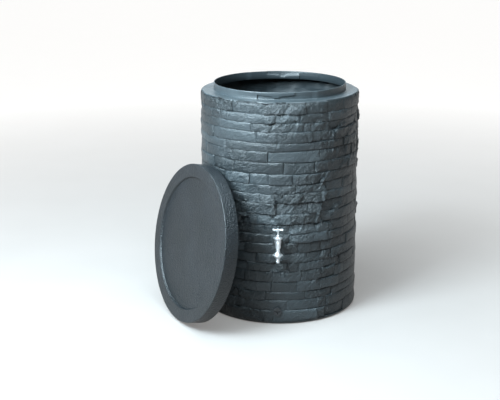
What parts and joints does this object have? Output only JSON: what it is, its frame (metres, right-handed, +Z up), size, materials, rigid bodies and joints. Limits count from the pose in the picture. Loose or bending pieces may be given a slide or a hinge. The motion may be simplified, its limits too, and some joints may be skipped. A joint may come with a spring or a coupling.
{
  "type": "rain barrel",
  "caption": "Tall round rain barrel with a stacked-stone relief, a bayonet neck, a loose recessed lid leaning beside it, a T-handle tap with a hose tail and a drain plug.",
  "frame": {"origin": "centre of the tank's flat base, on the floor", "axes": "+Z up along the tank's axis, the tap and the drain plug face -Y, the lid leans on the -X side"},
  "size_m": [0.8265, 0.8482, 0.902],
  "materials": {
    "stone_plastic": "charcoal moulded polyethylene with a split-stone relief, satin",
    "grained_plastic": "charcoal moulded polyethylene with a fine pebble grain, satin",
    "chrome_plastic": "chrome plate over a moulded or cast body, bright",
    "black_plastic": "black moulded plastic, satin",
    "rubber": "black sealing rubber, matt",
    "fibre": "red-brown pressed fibre washer, matt",
    "brass": "machined brass",
    "steel": "plated steel screw"
  },
  "bodies": {
    "root": {"tank_shell": "stone_plastic", "tap_body": "chrome_plastic", "tap_outer_washer": "rubber", "tap_inner_washer": "rubber", "tap_back_nut": "black_plastic", "tap_bonnet_washer": "fibre", "tap_bonnet": "chrome_plastic", "tap_gland_ring": "rubber", "tap_gland_nut": "chrome_plastic", "drain_bush": "black_plastic"},
    "lid": {"lid": "grained_plastic"},
    "valve": {"tap_jumper": "brass", "tap_jumper_washer": "rubber"},
    "spindle": {"tap_spindle": "chrome_plastic", "tap_handle": "chrome_plastic", "tap_handle_screw": "steel"},
    "hose_tail": {"tap_hose_tail": "chrome_plastic", "tap_tail_washer": "rubber"},
    "union_nut": {"tap_union_nut": "chrome_plastic"},
    "plug_washer": {"drain_washer": "rubber"},
    "plug": {"drain_plug": "black_plastic"}
  },
  "joints": [
    {"name": "lid_tip", "type": "hinge", "parent": "root", "child": "lid", "pos_m": [-0.40165, -0.29482, 0], "axis": [0.5, -0.866, 0], "range_deg": [0, 100.8]},
    {"name": "valve_lift", "type": "slide", "parent": "root", "child": "valve", "axis": [0, 0, 1], "range_m": [0, 0.0053]},
    {"name": "handle_turn", "type": "hinge", "parent": "valve", "child": "spindle", "pos_m": [0, -0.35868, 0.38], "axis": [0, 0, 1], "range_deg": [0, 630]},
    {"name": "union_drop", "type": "slide", "parent": "root", "child": "hose_tail", "axis": [0, 0, -1], "range_m": [0, 0.0073]},
    {"name": "union_turn", "type": "hinge", "parent": "hose_tail", "child": "union_nut", "pos_m": [0, -0.35868, 0.298], "axis": [0, 0, -1], "range_deg": [0, 1440]},
    {"name": "plug_withdraw", "type": "slide", "parent": "root", "child": "plug_washer", "axis": [0, -1, 0], "range_m": [0, 0.0145]},
    {"name": "plug_turn", "type": "hinge", "parent": "plug_washer", "child": "plug", "pos_m": [0, -0.32, 0.055], "axis": [0, -1, 0], "range_deg": [0, 2880]}
  ],
  "couplings": [
    {"joint": "valve_lift", "follows": "handle_turn", "m_per_rad": 0.00047746},
    {"joint": "union_drop", "follows": "union_turn", "m_per_rad": 0.00028648},
    {"joint": "plug_withdraw", "follows": "plug_turn", "m_per_rad": 0.00028648}
  ]
}
